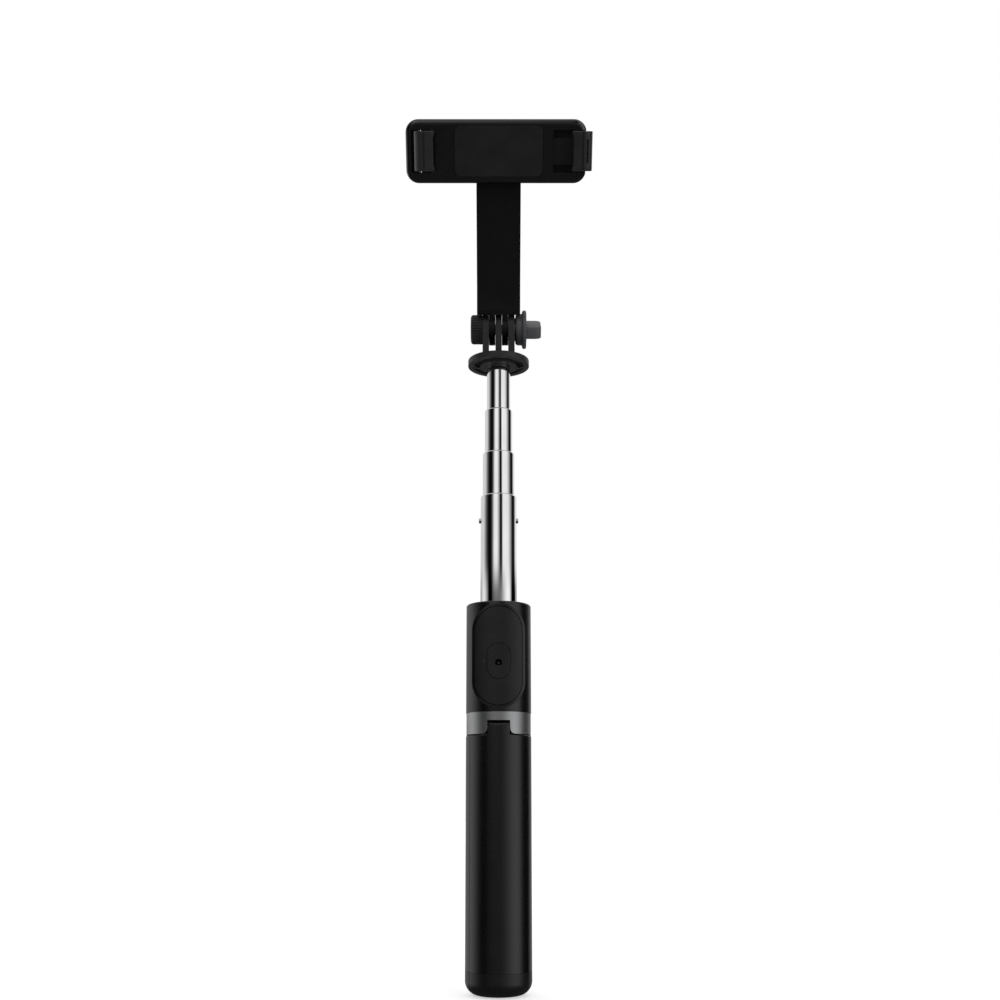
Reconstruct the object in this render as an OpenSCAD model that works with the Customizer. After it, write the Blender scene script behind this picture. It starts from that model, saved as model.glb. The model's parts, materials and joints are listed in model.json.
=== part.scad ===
// Telescopic selfie stick with fold-out tripod legs, lift-out remote and tilting phone clamp.
// Origin: centre of the closed feet, on the surface they stand on. +Z up, -Y front, millimetres.

/* [Grip] */
// Diameter of the handle and of the closed legs
grip_d = 30; // [29:0.5:32]
// Height of the rubber foot caps
foot_h = 10.5; // [9:0.5:12]
// Radius of the rounded lower corner of the feet
foot_corner_r = 6.2; // [5.8:0.1:8]
// Height of the top of the closed legs
leg_top_z = 114.3; // [114:0.1:114.4]
// Gap between neighbouring legs when closed
leg_gap = 0.3; // [0.2:0.05:0.6]
// Height of the lower face of the hinge collar
collar_z0 = 114.7; // [114.6:0.1:115]
// Height of the upper face of the hinge collar
collar_z1 = 124.6; // [124:0.1:126]
// Height of the top of the handle
handle_top_z = 175.1; // [174.5:0.1:178]

/* [Leg hinges] */
// Distance of the leg hinge pins from the axis of the stick
hinge_r = 12.1; // [12:0.05:12.2]
// Height of the leg hinge pins
hinge_z = 117.5; // [117.3:0.1:117.6]
// Width of the tongue on each leg
tongue_w = 10; // [9:0.2:10]
// Width of the notches of the collar
notch_w = 10.4; // [10.4:0.1:10.8]
// Height of the top of the notches
notch_top_z = 120.7; // [120.6:0.1:121]

/* [Remote] */
// Width of the remote
remote_w = 21.3; // [21:0.1:21.5]
// Height of the remote
remote_h = 44.9; // [44:0.1:45.2]
// Height of the middle of the remote
remote_z = 149.95; // [149.5:0.05:150.2]
// Radius of the gently curved front of the remote
crown_r = 29; // [28:0.5:32]
// Width of the shutter button
button_w = 10.6; // [10:0.1:11.5]
// Height of the shutter button
button_h = 16.2; // [15:0.1:18]
// Height of the middle of the shutter button
button_z = 147.4; // [146.5:0.1:150]

/* [Pole] */
// Outer diameter of the largest tube
tube_d = 17; // [16.95:0.05:17]
// Step in diameter from one tube to the next
tube_step = 1.9; // [1.85:0.05:1.95]
// Wall thickness of the tubes
tube_wall = 0.45; // [0.4:0.05:0.5]
// Length of each tube
tube_l = 155; // [150:1:158]
// Heights of the tops of the four tubes
tube_tops = [227.5, 248.6, 269.9, 293.3];
// Height of the two guide studs on the largest tube
stud_z = 215.7; // [212:0.1:220]

/* [Head] */
// Height of the underside of the head disc
disc_z0 = 292.2; // [292:0.1:292.4]
// Height of the top of the head disc
disc_z1 = 295; // [294.8:0.1:295.4]
// Height of the tilt axis
pin_z = 311.1; // [310.5:0.1:312]
// Thickness of each prong and knuckle
prong_t = 3; // [2.9:0.05:3]
// Distance between the middles of neighbouring prongs
prong_pitch = 6.2; // [6.2:0.05:6.3]
// Radius of the round ends of the prongs
prong_r = 7.5; // [7:0.1:7.6]

/* [Clamp] */
// Forward lean of the stem and the clamp at rest
tilt = 29.5; // [0:0.5:45]
// Distance from the tilt axis to the middle of the clamp
clamp_w = 81.4; // [78:0.2:90]
// Height of the clamp body
clamp_h = 27.5; // [27.4:0.1:29]
// Left end of the clamp body
clamp_left = -42.3; // [-43:0.1:-42.1]
// Right end of the clamp body
clamp_right = 40; // [39.8:0.1:40.6]
// Corner radius of the clamp body
clamp_corner = 5.8; // [5:0.1:6]
// Width of the stem
stem_w = 20.7; // [20:0.1:21]
// Position of the hinge pin of the left jaw
jaw_left_x = -35.8; // [-35.9:0.1:-35.7]
// Position of the hinge pin of the right jaw
jaw_right_x = 40; // [39.8:0.1:40.4]
// Height of the jaws
jaw_h = 16.8; // [16.4:0.1:17.2]

/* [Hidden] */
$fn = 96;

black = "#1a1b1d";
soft_black = "#26272a";
silver = "#9a9c9f";
chrome = "#d8dadc";
steel = "#a9acb0";
rubber_black = "#131314";

big = 200;
running = 0.05;
grip_r = grip_d / 2;

// legs
leg_inner_r = 9.2;
leg_wall = 1.6;
leg_lining_t = 1.2;
leg_cavity_z0 = 14;
leg_cavity_z1 = 109;
foot_joint = 0.1;
knuckle_r = 2.9;
hinge_pin_r = 0.8;
hinge_pin_l = 13.2;
edge_r = 0.5;

// collar and handle
collar_bore_r = 9;
collar_r = grip_r - 0.2;
notch_flare = 2.8;
screw_ring_r = 12;
collar_screw_head_r = 1.6;
collar_screw_head_t = 1.3;
collar_screw_r = 0.9;
collar_screw_z0 = 114.9;
collar_screw_z1 = 130;
handle_edge_r = 1;
liner_inner_r = 8.8;
liner_outer_r = 9.4;
liner_top_z = 160;
bush_flange_r = 10.2;
bush_flange_t = 0.6;
groove_w = 3;
groove_r = 8.9;
groove_depth = 1.6;
groove_z0 = 164;
pod_rim = 1.45;
pod_y = -8;

// remote
crown_y = crown_r - grip_r;
pocket_play = 0.3;
pocket_y = -10.3;
remote_back_y = -10.35;
remote_back_t = 0.55;
remote_wall = 0.8;
cell_r = 8;
cell_t = 1.2;
cell_z = 141;
board_t = 0.5;
board_w = 17;
board_h = 40.6;
switch_r = 2;
switch_t = 0.2;
button_play = 0.2;
button_flange = 0.75;
button_flange_y = -13.45;
button_flange_t = 0.25;
led_x = -6.65;
led_r = 0.45;
led_y = -14.2;
cell_y = remote_back_y - remote_back_t;
board_y = cell_y - cell_t;
switch_y = board_y - board_t;

// pole
function tube_r(i) = (tube_d - i * tube_step) / 2;
tube_bush_h = 8;
lip_h = 1.2;
lip_r = 0.8;
stud_r = 1.2;
stud_proud = 0.8;
plug_h = 10;
flange_r = 7.5;
flange_t = 1.8;

// head
disc_r = 14.7;
rim_t = 2.5;
base_r = 9;
base_z = 297.2;
recess_z = 293.2;
under_z = 291.8;
ear_x = 10;
ear_r = 2.3;
ear_z = 292.6;
head_screw_r = 0.9;
head_screw_head_r = 1.8;
head_screw_head_t = 0.9;
head_screw_top_z = 294.4;
bolt_r = 2.5;
fork_half = prong_pitch + prong_t / 2;
cap_r = 7;
cap_l = 5.8;
nut_r = 4.62;
nut_l = 4;
nut_gap = 0.6;
washer_t = 0.4;
washer_r = 5.5;
hub_r = 7.5;
hub_l = 3.3;
flange_knob_r = 9.2;
flange_knob_l = 2;
wing_l = 7.1;
wing_w = 16;
wing_t = 5.6;
wing_corner = 3;
wing_tilt = 34.5;
bolt_head_r = 4.6;
bolt_head_l = 3.8;
bolt_head_x = 8.6;
hub_x = fork_half + washer_t;

// stem, measured along the leaning direction from the tilt axis
stem_root_w = 7.75;
stem_root_t = 12;
stem_root_h = 3;
stem_root_end = 20;
stem_t = 7;
knuckle_x = prong_pitch / 2;
cover_t = 1;
cover_w0 = 22;
cover_w1 = 66;
cover_width = 16;
cover_corner = 2;
swivel_r = 4;
swivel_head_r = 6;
swivel_head_t = 1;
swivel_nut_r = 7;
swivel_nut_proud = 0.4;
swivel_stud_r = 2;
counterbore_t = 1.6;
swivel_play = 0.1;
swivel_washer_t = 0.5;
swivel_washer_play = 0.02;
swivel_washer_r = 9;
clamp_back = -4;
clamp_split = -6.5;
clamp_face = -12;
stem_front = -stem_t / 2;

// clamp
cavity_left = -28.6;
cavity_right = 25;
cavity_face = -10.6;
cavity_half = 11;
recess_half = 9.1;
left_recess = [-39.7, -30.8];
pivot_y = -9.6;
barrel_r = 2;
jaw_pin_r = 0.9;
left_pin_half = 10.1;
right_pin_half = 8.2;
jaw_wall_in = 1;
jaw_reach = 7.1;
jaw_depth = 14.4;
lip_t = 2.4;
jaw_bend_r = 4;
jaw_pad_t = 1.4;
lip_pad_t = 0.8;
jaw_pad_back = 0.5;
jaw_pad_z = 5.2;
jaw_pad_h = 14.8;
jaw_cut_half = 6;
jaw_cut_depth = 3.2;
tongue_half = 5.8;
tongue_y = [-10.4, -8];
slider_y = [-10.3, -6.8];
slider_x = [-3, 8.8];
slider_tail_x = -18.4;
slider_half = 10.7;
spring_out_r = 1.6;
spring_in_r = 1;
spring_w = 9.2;
spring_y = -8.6;
pad_x = [-20, 20];
pad_half = 10.8;
pad_t = 0.8;
pad_corner = 3;
clamp_screw_x = [-37.6, 35];
clamp_screw_w = 11.4;
clamp_screw_r = 0.85;
clamp_screw_head_r = 1.7;
clamp_screw_y = [-11, -4.2];
clamp_screw_head_t = 1.2;

// ---------- shared shapes ----------

// Tube between two radii and two heights
module ring(r0, r1, z0, z1) {
    translate([0, 0, z0])
        difference() {
            cylinder(r = r1, h = z1 - z0);
            translate([0, 0, -1])
                cylinder(r = r0, h = z1 - z0 + 2);
        }
}

// Flat outline drawn in X and Z, extruded from y0 to y1
module along_y(y0, y1) {
    translate([0, y1, 0])
        rotate([90, 0, 0])
            linear_extrude(y1 - y0)
                children();
}

// Flat outline drawn in Y and Z, extruded from x0 to x1
module along_x(x0, x1) {
    translate([x0, 0, 0])
        rotate([90, 0, 90])
            linear_extrude(x1 - x0)
                children();
}

// Cylinder lying along X
module rod_x(r, x0, x1) {
    translate([x0, 0, 0])
        rotate([0, 90, 0])
            cylinder(r = r, h = x1 - x0);
}

// Cylinder lying along Y
module rod_y(r, y0, y1) {
    translate([0, y1, 0])
        rotate([90, 0, 0])
            cylinder(r = r, h = y1 - y0);
}

// Upright stadium outline
module stadium(w, h) {
    straight = (h - w) / 2;
    square([w, 2 * straight], center = true);
    translate([0, straight])
        circle(d = w);
    translate([0, -straight])
        circle(d = w);
}

// Rectangle with round corners from one corner to the other
module round_rect(x0, x1, y0, y1, r) {
    translate([x0 + r, y0])
        square([x1 - x0 - 2 * r, y1 - y0]);
    translate([x0, y0 + r])
        square([x1 - x0, y1 - y0 - 2 * r]);
    for (x = [x0 + r, x1 - r], y = [y0 + r, y1 - r])
        translate([x, y])
            circle(r);
}

// ---------- legs ----------

// One third of the plan, set back from both side planes by the inset
module third(inset) {
    apex = inset / sin(60);
    reach = 40;
    polygon([
        [0, -apex],
        [reach * sin(60), -apex - reach * cos(60)],
        [-reach * sin(60), -apex - reach * cos(60)]
    ]);
}

// Part of a round body that lies within one third
module third_of(inset) {
    intersection() {
        children();
        linear_extrude(big)
            third(inset);
    }
}

// Tongue with its hinge knuckle
module tongue() {
    difference() {
        intersection() {
            along_x(-tongue_w / 2, tongue_w / 2) {
                translate([-grip_r, leg_cavity_z1])
                    square([grip_r - leg_inner_r, hinge_z - leg_cavity_z1]);
                translate([-hinge_r, hinge_z])
                    circle(knuckle_r);
            }
            cylinder(r = grip_r, h = big);
        }
        translate([0, -hinge_r, hinge_z])
            rod_x(hinge_pin_r + running, -grip_r, grip_r);
    }
}

// Leg shell: a hollow third of a thick tube, open to the inside
module leg_shell() {
    color(black) {
        union() {
            third_of(leg_gap / 2)
                difference() {
                    rotate_extrude()
                        difference() {
                            translate([leg_inner_r, foot_h + foot_joint])
                                square([grip_r - leg_inner_r, leg_top_z - foot_h - foot_joint]);
                            translate([grip_r - edge_r, leg_top_z - edge_r])
                                difference() {
                                    square(edge_r * 2);
                                    circle(edge_r);
                                }
                        }
                    third_of(leg_wall + leg_gap / 2)
                        ring(leg_inner_r - 1, grip_r - leg_wall, leg_cavity_z0, leg_cavity_z1);
                }
            tongue();
        }
    }
}

// Inner cover that closes the leg shell
module leg_cover() {
    color(soft_black)
        third_of(leg_wall + leg_gap / 2)
            ring(leg_inner_r, leg_inner_r + leg_lining_t, leg_cavity_z0, leg_cavity_z1);
}

// Rubber foot cap: a full wedge with a round lower corner
module leg_foot() {
    flat_r = grip_r - foot_corner_r;
    color(rubber_black)
        third_of(leg_gap / 2)
            rotate_extrude()
                intersection() {
                    square([grip_r, foot_h]);
                    union() {
                        square([flat_r, foot_h]);
                        translate([flat_r, foot_corner_r])
                            circle(foot_corner_r);
                        translate([flat_r, foot_corner_r])
                            square([foot_corner_r, foot_h]);
                    }
                }
}

module leg_place(turn) {
    rotate([0, 0, turn])
        children();
}

module leg_front_shell() {
    leg_place(0)
        leg_shell();
}

module leg_front_cover() {
    leg_place(0)
        leg_cover();
}

module leg_front_foot() {
    leg_place(0)
        leg_foot();
}

module leg_right_shell() {
    leg_place(120)
        leg_shell();
}

module leg_right_cover() {
    leg_place(120)
        leg_cover();
}

module leg_right_foot() {
    leg_place(120)
        leg_foot();
}

module leg_left_shell() {
    leg_place(240)
        leg_shell();
}

module leg_left_cover() {
    leg_place(240)
        leg_cover();
}

module leg_left_foot() {
    leg_place(240)
        leg_foot();
}

// ---------- collar and handle ----------

// Flare at the lower right corner of a notch
module notch_corner() {
    half = notch_w / 2;
    overlap = 0.1;
    difference() {
        translate([half - 1, collar_z0 - 1])
            square([notch_flare + 1 - overlap, notch_flare + 1 - overlap]);
        translate([half + notch_flare - overlap, collar_z0 + notch_flare - overlap])
            circle(notch_flare);
    }
}

// Outline of one collar notch, flared at its lower corners
module notch_outline() {
    translate([-notch_w / 2, collar_z0 - 1])
        square([notch_w, notch_top_z - collar_z0 + 1]);
    notch_corner();
    mirror([1, 0])
        notch_corner();
}

module hinge_pin_set() {
    for (turn = [0, 120, 240])
        rotate([0, 0, turn])
            translate([0, -hinge_r, hinge_z])
                rod_x(hinge_pin_r, -hinge_pin_l / 2, hinge_pin_l / 2);
}

module collar_screw_set() {
    for (turn = [60, 180, 300])
        rotate([0, 0, turn])
            translate([0, -screw_ring_r, 0]) {
                translate([0, 0, collar_screw_z0])
                    cylinder(r = collar_screw_head_r, h = collar_screw_head_t);
                translate([0, 0, collar_screw_z0 + collar_screw_head_t])
                    cylinder(r = collar_screw_r, h = collar_screw_z1 - collar_screw_z0 - collar_screw_head_t);
            }
}

module hinge_collar() {
    color(silver)
        difference() {
            ring(collar_bore_r, collar_r, collar_z0, collar_z1);
            for (turn = [0, 120, 240])
                rotate([0, 0, turn])
                    along_y(-grip_r - 1, -collar_bore_r + 2)
                        notch_outline();
            hinge_pin_set();
            collar_screw_set();
            for (turn = [60, 180, 300])
                rotate([0, 0, turn])
                    translate([0, -screw_ring_r, collar_z0 - 1])
                        cylinder(r = collar_screw_head_r, h = collar_screw_z0 + collar_screw_head_t - collar_z0 + 1);
        }
}

module hinge_pins() {
    color(steel)
        hinge_pin_set();
}

module collar_screws() {
    color(steel)
        collar_screw_set();
}

// Raised stadium pod around the remote
module pod() {
    intersection() {
        along_y(-big, pod_y)
            translate([0, remote_z])
                stadium(remote_w + 2 * pod_rim, remote_h + 2 * pod_rim);
        translate([0, crown_y, 0])
            cylinder(r = crown_r, h = big);
    }
}

module handle_shell() {
    color(black)
        difference() {
            union() {
                rotate_extrude()
                    difference() {
                        translate([0, collar_z1])
                            square([grip_r, handle_top_z - collar_z1]);
                        translate([grip_r - handle_edge_r, handle_top_z - handle_edge_r])
                            difference() {
                                square(handle_edge_r * 2);
                                circle(handle_edge_r);
                            }
                    }
                pod();
            }
            translate([0, 0, collar_z1 - 1])
                cylinder(r = liner_outer_r, h = big);
            translate([0, 0, handle_top_z - bush_flange_t])
                cylinder(r = bush_flange_r, h = big);
            along_y(-big, pocket_y)
                translate([0, remote_z])
                    stadium(remote_w + 2 * pocket_play, remote_h + 2 * pocket_play);
            collar_screw_set();
        }
}

module handle_liner() {
    color(steel)
        ring(liner_inner_r, liner_outer_r, collar_z1, liner_top_z);
}

// Bush in the mouth of the handle, with two grooves for the guide studs
module mouth_bush() {
    color(soft_black)
        difference() {
            union() {
                ring(tube_r(0) + running, liner_outer_r, liner_top_z, handle_top_z);
                ring(tube_r(0) + running, bush_flange_r, handle_top_z - bush_flange_t, handle_top_z);
            }
            for (side = [-1, 1])
                translate([side * groove_r, 0, groove_z0 + big / 2])
                    cube([groove_depth, groove_w, big], center = true);
        }
}

// ---------- remote ----------

module crown(r) {
    translate([0, crown_y, 0])
        cylinder(r = r, h = big);
}

module remote_front() {
    color(black)
        difference() {
            intersection() {
                along_y(-grip_r - 1, remote_back_y - remote_back_t)
                    translate([0, remote_z])
                        stadium(remote_w, remote_h);
                crown(crown_r);
            }
            intersection() {
                along_y(-grip_r, remote_back_y)
                    translate([0, remote_z])
                        stadium(remote_w - 2 * remote_wall, remote_h - 2 * remote_wall);
                crown(crown_r - remote_wall);
            }
            along_y(-grip_r - 2, remote_back_y)
                translate([0, button_z])
                    stadium(button_w + 2 * button_play, button_h + 2 * button_play);
            translate([led_x, 0, button_z])
                rod_y(led_r, -grip_r - 2, remote_back_y);
        }
}

module remote_back() {
    color(soft_black)
        along_y(remote_back_y - remote_back_t, remote_back_y)
            translate([0, remote_z])
                stadium(remote_w, remote_h);
}

module remote_board() {
    color("#1f5a36")
        along_y(board_y - board_t, board_y)
            translate([0, remote_z])
                stadium(board_w, board_h);
}

module remote_cell() {
    color(chrome)
        translate([0, 0, cell_z])
            rod_y(cell_r, board_y, cell_y);
}

module remote_switch() {
    color(steel)
        translate([0, 0, button_z])
            rod_y(switch_r, switch_y - switch_t, switch_y);
}

module remote_led() {
    color("#d6dde2")
        translate([led_x, 0, button_z])
            rod_y(led_r, led_y, switch_y);
}

module shutter_button() {
    color(soft_black)
        union() {
            intersection() {
                along_y(-grip_r - 1, button_flange_y)
                    translate([0, button_z])
                        stadium(button_w, button_h);
                crown(crown_r);
            }
            along_y(button_flange_y, button_flange_y + button_flange_t)
                translate([0, button_z])
                    stadium(button_w + 2 * button_flange, button_h + 2 * button_flange);
        }
}

// ---------- pole ----------

// Thin tube with a rolled lip at its top that guides the next tube
module pole_tube(i, lipped) {
    r = tube_r(i);
    top = tube_tops[i];
    lip_in = tube_r(i + 1) + running;
    color(chrome)
        rotate_extrude()
            difference() {
                union() {
                    translate([r - tube_wall, top - tube_l])
                        square([tube_wall, tube_l]);
                    if (lipped)
                        translate([lip_in, top - lip_h])
                            square([r - lip_in, lip_h]);
                }
                if (lipped)
                    translate([r - lip_r, top - lip_r])
                        difference() {
                            square(lip_r * 2);
                            circle(lip_r);
                        }
            }
}

// Sliding bush on the lower end of a tube
module pole_bush(i, bore_r) {
    bottom = tube_tops[i] - tube_l;
    color("#2b2c2e")
        ring(tube_r(i), bore_r - running, bottom, bottom + tube_bush_h);
}

module tube_1() {
    difference() {
        pole_tube(0, true);
        translate([0, 0, stud_z])
            rod_x(stud_r, -big, big);
    }
}

module tube_1_bush() {
    pole_bush(0, liner_inner_r);
}

module guide_studs() {
    color(chrome)
        for (side = [0, 180])
            rotate([0, 0, side])
                translate([0, 0, stud_z])
                    rod_x(stud_r, tube_r(0) - tube_wall, tube_r(0) + stud_proud);
}

module tube_2() {
    pole_tube(1, true);
}

module tube_2_bush() {
    pole_bush(1, tube_r(0) - tube_wall);
}

module tube_3() {
    pole_tube(2, true);
}

module tube_3_bush() {
    pole_bush(2, tube_r(1) - tube_wall);
}

module tube_4() {
    pole_tube(3, false);
}

module tube_4_bush() {
    pole_bush(3, tube_r(2) - tube_wall);
}

// Plug in the top of the smallest tube; its flange carries the turning head
module tube_plug() {
    color(soft_black)
        union() {
            translate([0, 0, tube_tops[3] - plug_h])
                cylinder(r = tube_r(3) - tube_wall, h = plug_h);
            translate([0, 0, tube_tops[3]])
                cylinder(r = flange_r, h = flange_t);
        }
}

// ---------- head ----------

module prong_outline() {
    translate([0, pin_z])
        circle(prong_r);
    translate([-prong_r, disc_z1 - 0.5])
        square([2 * prong_r, pin_z - disc_z1 + 0.5]);
}

module head_fork() {
    cavity_top = tube_tops[3] + flange_t + 0.1;
    color(black)
        difference() {
            union() {
                translate([0, 0, disc_z0])
                    cylinder(r = disc_r, h = disc_z1 - disc_z0);
                translate([0, 0, disc_z0])
                    cylinder(r = base_r, h = base_z - disc_z0);
                for (x = [-prong_pitch, 0, prong_pitch])
                    along_x(x - prong_t / 2, x + prong_t / 2)
                        prong_outline();
            }
            translate([0, 0, disc_z0 - 1])
                cylinder(r = disc_r - rim_t, h = recess_z - disc_z0 + 1);
            translate([0, 0, disc_z0 - 1])
                cylinder(r = flange_r + swivel_play, h = cavity_top - disc_z0 + 1);
            for (x = [-ear_x, ear_x])
                translate([x, 0, disc_z0 - 1])
                    cylinder(r = head_screw_r, h = head_screw_top_z - disc_z0 + 1);
            translate([0, 0, pin_z])
                rod_x(bolt_r + running, -big, big);
        }
}

// Retaining plate under the disc, with an ear for each screw
module head_under() {
    color(soft_black)
        difference() {
            union() {
                translate([0, 0, under_z])
                    cylinder(r = base_r, h = recess_z - under_z);
                for (x = [-ear_x, ear_x])
                    translate([x, 0, ear_z])
                        cylinder(r = ear_r, h = recess_z - ear_z);
            }
            translate([0, 0, under_z - 1])
                cylinder(r = tube_r(3) + running, h = recess_z - under_z + 2);
            for (x = [-ear_x, ear_x])
                translate([x, 0, under_z - 1]) {
                    cylinder(r = head_screw_r, h = recess_z - under_z + 2);
                    cylinder(r = head_screw_head_r, h = ear_z - under_z + 1);
                }
        }
}

module head_screws() {
    color(steel)
        for (x = [-ear_x, ear_x])
            translate([x, 0, 0]) {
                translate([0, 0, ear_z - head_screw_head_t])
                    cylinder(r = head_screw_head_r, h = head_screw_head_t);
                translate([0, 0, ear_z])
                    cylinder(r = head_screw_r, h = head_screw_top_z - ear_z);
            }
}

module nut_cap() {
    color(black)
        translate([0, 0, pin_z])
            difference() {
                rod_x(cap_r, -fork_half - cap_l, -fork_half);
                translate([-fork_half - nut_l - nut_gap, 0, 0])
                    rotate([0, 90, 0])
                        cylinder(r = nut_r, h = big, $fn = 6);
            }
}

module tilt_nut() {
    color(steel)
        translate([-fork_half - nut_l - nut_gap, 0, pin_z])
            rotate([0, 90, 0])
                difference() {
                    cylinder(r = nut_r, h = nut_l, $fn = 6);
                    translate([0, 0, -1])
                        cylinder(r = bolt_r + running, h = nut_l + 2);
                }
}

module bolt_shape() {
    translate([0, 0, pin_z]) {
        rod_x(bolt_r, -fork_half - nut_l - nut_gap / 2, bolt_head_x);
        translate([bolt_head_x, 0, 0])
            rotate([0, 90, 0])
                cylinder(r = bolt_head_r, h = bolt_head_l, $fn = 6);
    }
}

module tilt_bolt() {
    color(steel)
        bolt_shape();
}

module knob_washer() {
    color(steel)
        translate([0, 0, pin_z])
            difference() {
                rod_x(washer_r, fork_half, hub_x);
                rod_x(bolt_r, 0, big);
            }
}

// Thumb knob: round hub, wider flange and a flat wing
module thumb_knob() {
    wing_x = hub_x + hub_l + flange_knob_l;
    color("#38393c")
        difference() {
            translate([0, 0, pin_z]) {
                rod_x(hub_r, hub_x, hub_x + hub_l);
                rod_x(flange_knob_r, hub_x + hub_l, wing_x);
                rotate([wing_tilt, 0, 0])
                    translate([0, 0, -wing_t / 2])
                        linear_extrude(wing_t)
                            intersection() {
                                round_rect(wing_x - 2 * wing_corner, wing_x + wing_l,
                                           -wing_w / 2, wing_w / 2, wing_corner);
                                translate([wing_x - 1, -wing_w / 2])
                                    square([wing_l + 1, wing_w]);
                            }
            }
            bolt_shape();
        }
}

// ---------- stem ----------

// Frame that leans forward about the tilt axis; Z runs along the stem
module leaning() {
    translate([0, 0, pin_z])
        rotate([tilt, 0, 0])
            children();
}

module stem_arm() {
    root = stem_root_t / 2;
    bar = stem_t / 2;
    color("#101011")
        leaning()
            difference() {
                union() {
                    along_x(-stem_w / 2, stem_w / 2)
                        polygon([
                            [-root, stem_root_w], [root, stem_root_w],
                            [root, stem_root_w + stem_root_h], [bar, stem_root_end],
                            [bar, clamp_w], [-bar, clamp_w],
                            [-bar, stem_root_end], [-root, stem_root_w + stem_root_h]
                        ]);
                    translate([0, 0, clamp_w])
                        rod_y(stem_w / 2, -bar, bar);
                    for (x = [-knuckle_x, knuckle_x])
                        along_x(x - prong_t / 2, x + prong_t / 2) {
                            circle(prong_r);
                            translate([-root, 0])
                                square([2 * root, stem_root_w + 0.5]);
                        }
                }
                rod_x(bolt_r + running, -big, big);
                translate([0, 0, clamp_w]) {
                    rod_y(swivel_r + running, -big, big);
                    rod_y(swivel_nut_r + swivel_play, bar - counterbore_t, big);
                }
                along_y(bar - cover_t, big)
                    round_rect(-cover_width / 2, cover_width / 2, cover_w0, cover_w1, cover_corner);
            }
}

// Flush cover in the back of the stem
module stem_cover() {
    color(soft_black)
        leaning()
            along_y(stem_t / 2 - cover_t, stem_t / 2)
                round_rect(-cover_width / 2, cover_width / 2, cover_w0, cover_w1, cover_corner);
}

module swivel_washer() {
    color(steel)
        leaning()
            translate([0, 0, clamp_w])
                difference() {
                    rod_y(swivel_washer_r, stem_front - swivel_washer_t + swivel_washer_play, stem_front);
                    rod_y(swivel_r + swivel_play, -big, big);
                }
}

// ---------- clamp ----------

// Frame at the middle of the clamp
module at_clamp() {
    leaning()
        translate([0, 0, clamp_w])
            children();
}

module clamp_outline() {
    round_rect(clamp_left, clamp_right, -clamp_h / 2, clamp_h / 2, clamp_corner);
}

module swivel_shaft_shape() {
    rod_y(swivel_r, clamp_split + swivel_head_t, stem_t / 2 - counterbore_t + swivel_play);
    rod_y(swivel_head_r, clamp_split, clamp_split + swivel_head_t);
    rod_y(swivel_stud_r, -1, stem_t / 2);
}

module clamp_screw_shape() {
    for (x = clamp_screw_x, w = [-clamp_screw_w, clamp_screw_w])
        translate([x, 0, w]) {
            rod_y(clamp_screw_r, clamp_screw_y[0], clamp_screw_y[1]);
            rod_y(clamp_screw_head_r, clamp_screw_y[1] - clamp_screw_head_t, clamp_screw_y[1]);
        }
}

module clamp_rear_cover() {
    color(black)
        at_clamp()
            difference() {
                along_y(clamp_split, clamp_back)
                    clamp_outline();
                swivel_shaft_shape();
                clamp_screw_shape();
                for (x = clamp_screw_x, w = [-clamp_screw_w, clamp_screw_w])
                    translate([x, 0, w])
                        rod_y(clamp_screw_head_r, clamp_screw_y[1] - 0.1, big);
            }
}

// Front cover: cavity for the slider, an open recess at each end for the jaw hinges
module clamp_front_cover() {
    color(black)
        at_clamp()
            difference() {
                along_y(clamp_face, clamp_split)
                    clamp_outline();
                translate([cavity_left, cavity_face, -cavity_half])
                    cube([cavity_right - cavity_left, big, 2 * cavity_half]);
                translate([left_recess[0], -big / 2, -recess_half])
                    cube([left_recess[1] - left_recess[0], big, 2 * recess_half]);
                translate([cavity_right - 0.1, -big / 2, -recess_half])
                    cube([big, big, 2 * recess_half]);
                translate([jaw_left_x, pivot_y, -left_pin_half])
                    cylinder(r = jaw_pin_r, h = 2 * left_pin_half);
                clamp_screw_shape();
            }
}

module clamp_pad() {
    color(rubber_black)
        at_clamp()
            along_y(clamp_face - pad_t, clamp_face)
                round_rect(pad_x[0], pad_x[1], -pad_half, pad_half, pad_corner);
}

module clamp_screws() {
    color(steel)
        at_clamp()
            clamp_screw_shape();
}

// Two pull springs that close the clamp
module clamp_springs() {
    color(steel)
        at_clamp()
            for (w = [-spring_w, spring_w])
                translate([0, spring_y, w])
                    difference() {
                        rod_x(spring_out_r, cavity_left, slider_x[0]);
                        rod_x(spring_in_r, cavity_left - 1, slider_x[0] + 1);
                    }
}

module swivel_shaft() {
    color(steel)
        at_clamp()
            swivel_shaft_shape();
}

module swivel_nut() {
    color(steel)
        at_clamp()
            difference() {
                rod_y(swivel_nut_r, stem_t / 2 - counterbore_t + swivel_play, stem_t / 2 + swivel_nut_proud);
                swivel_shaft_shape();
            }
}

module left_jaw_pin() {
    color(chrome)
        at_clamp()
            translate([jaw_left_x, pivot_y, -left_pin_half])
                cylinder(r = jaw_pin_r, h = 2 * left_pin_half);
}

module right_jaw_pin() {
    color(chrome)
        at_clamp()
            translate([jaw_right_x, pivot_y, -right_pin_half])
                cylinder(r = jaw_pin_r, h = 2 * right_pin_half);
}

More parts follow.
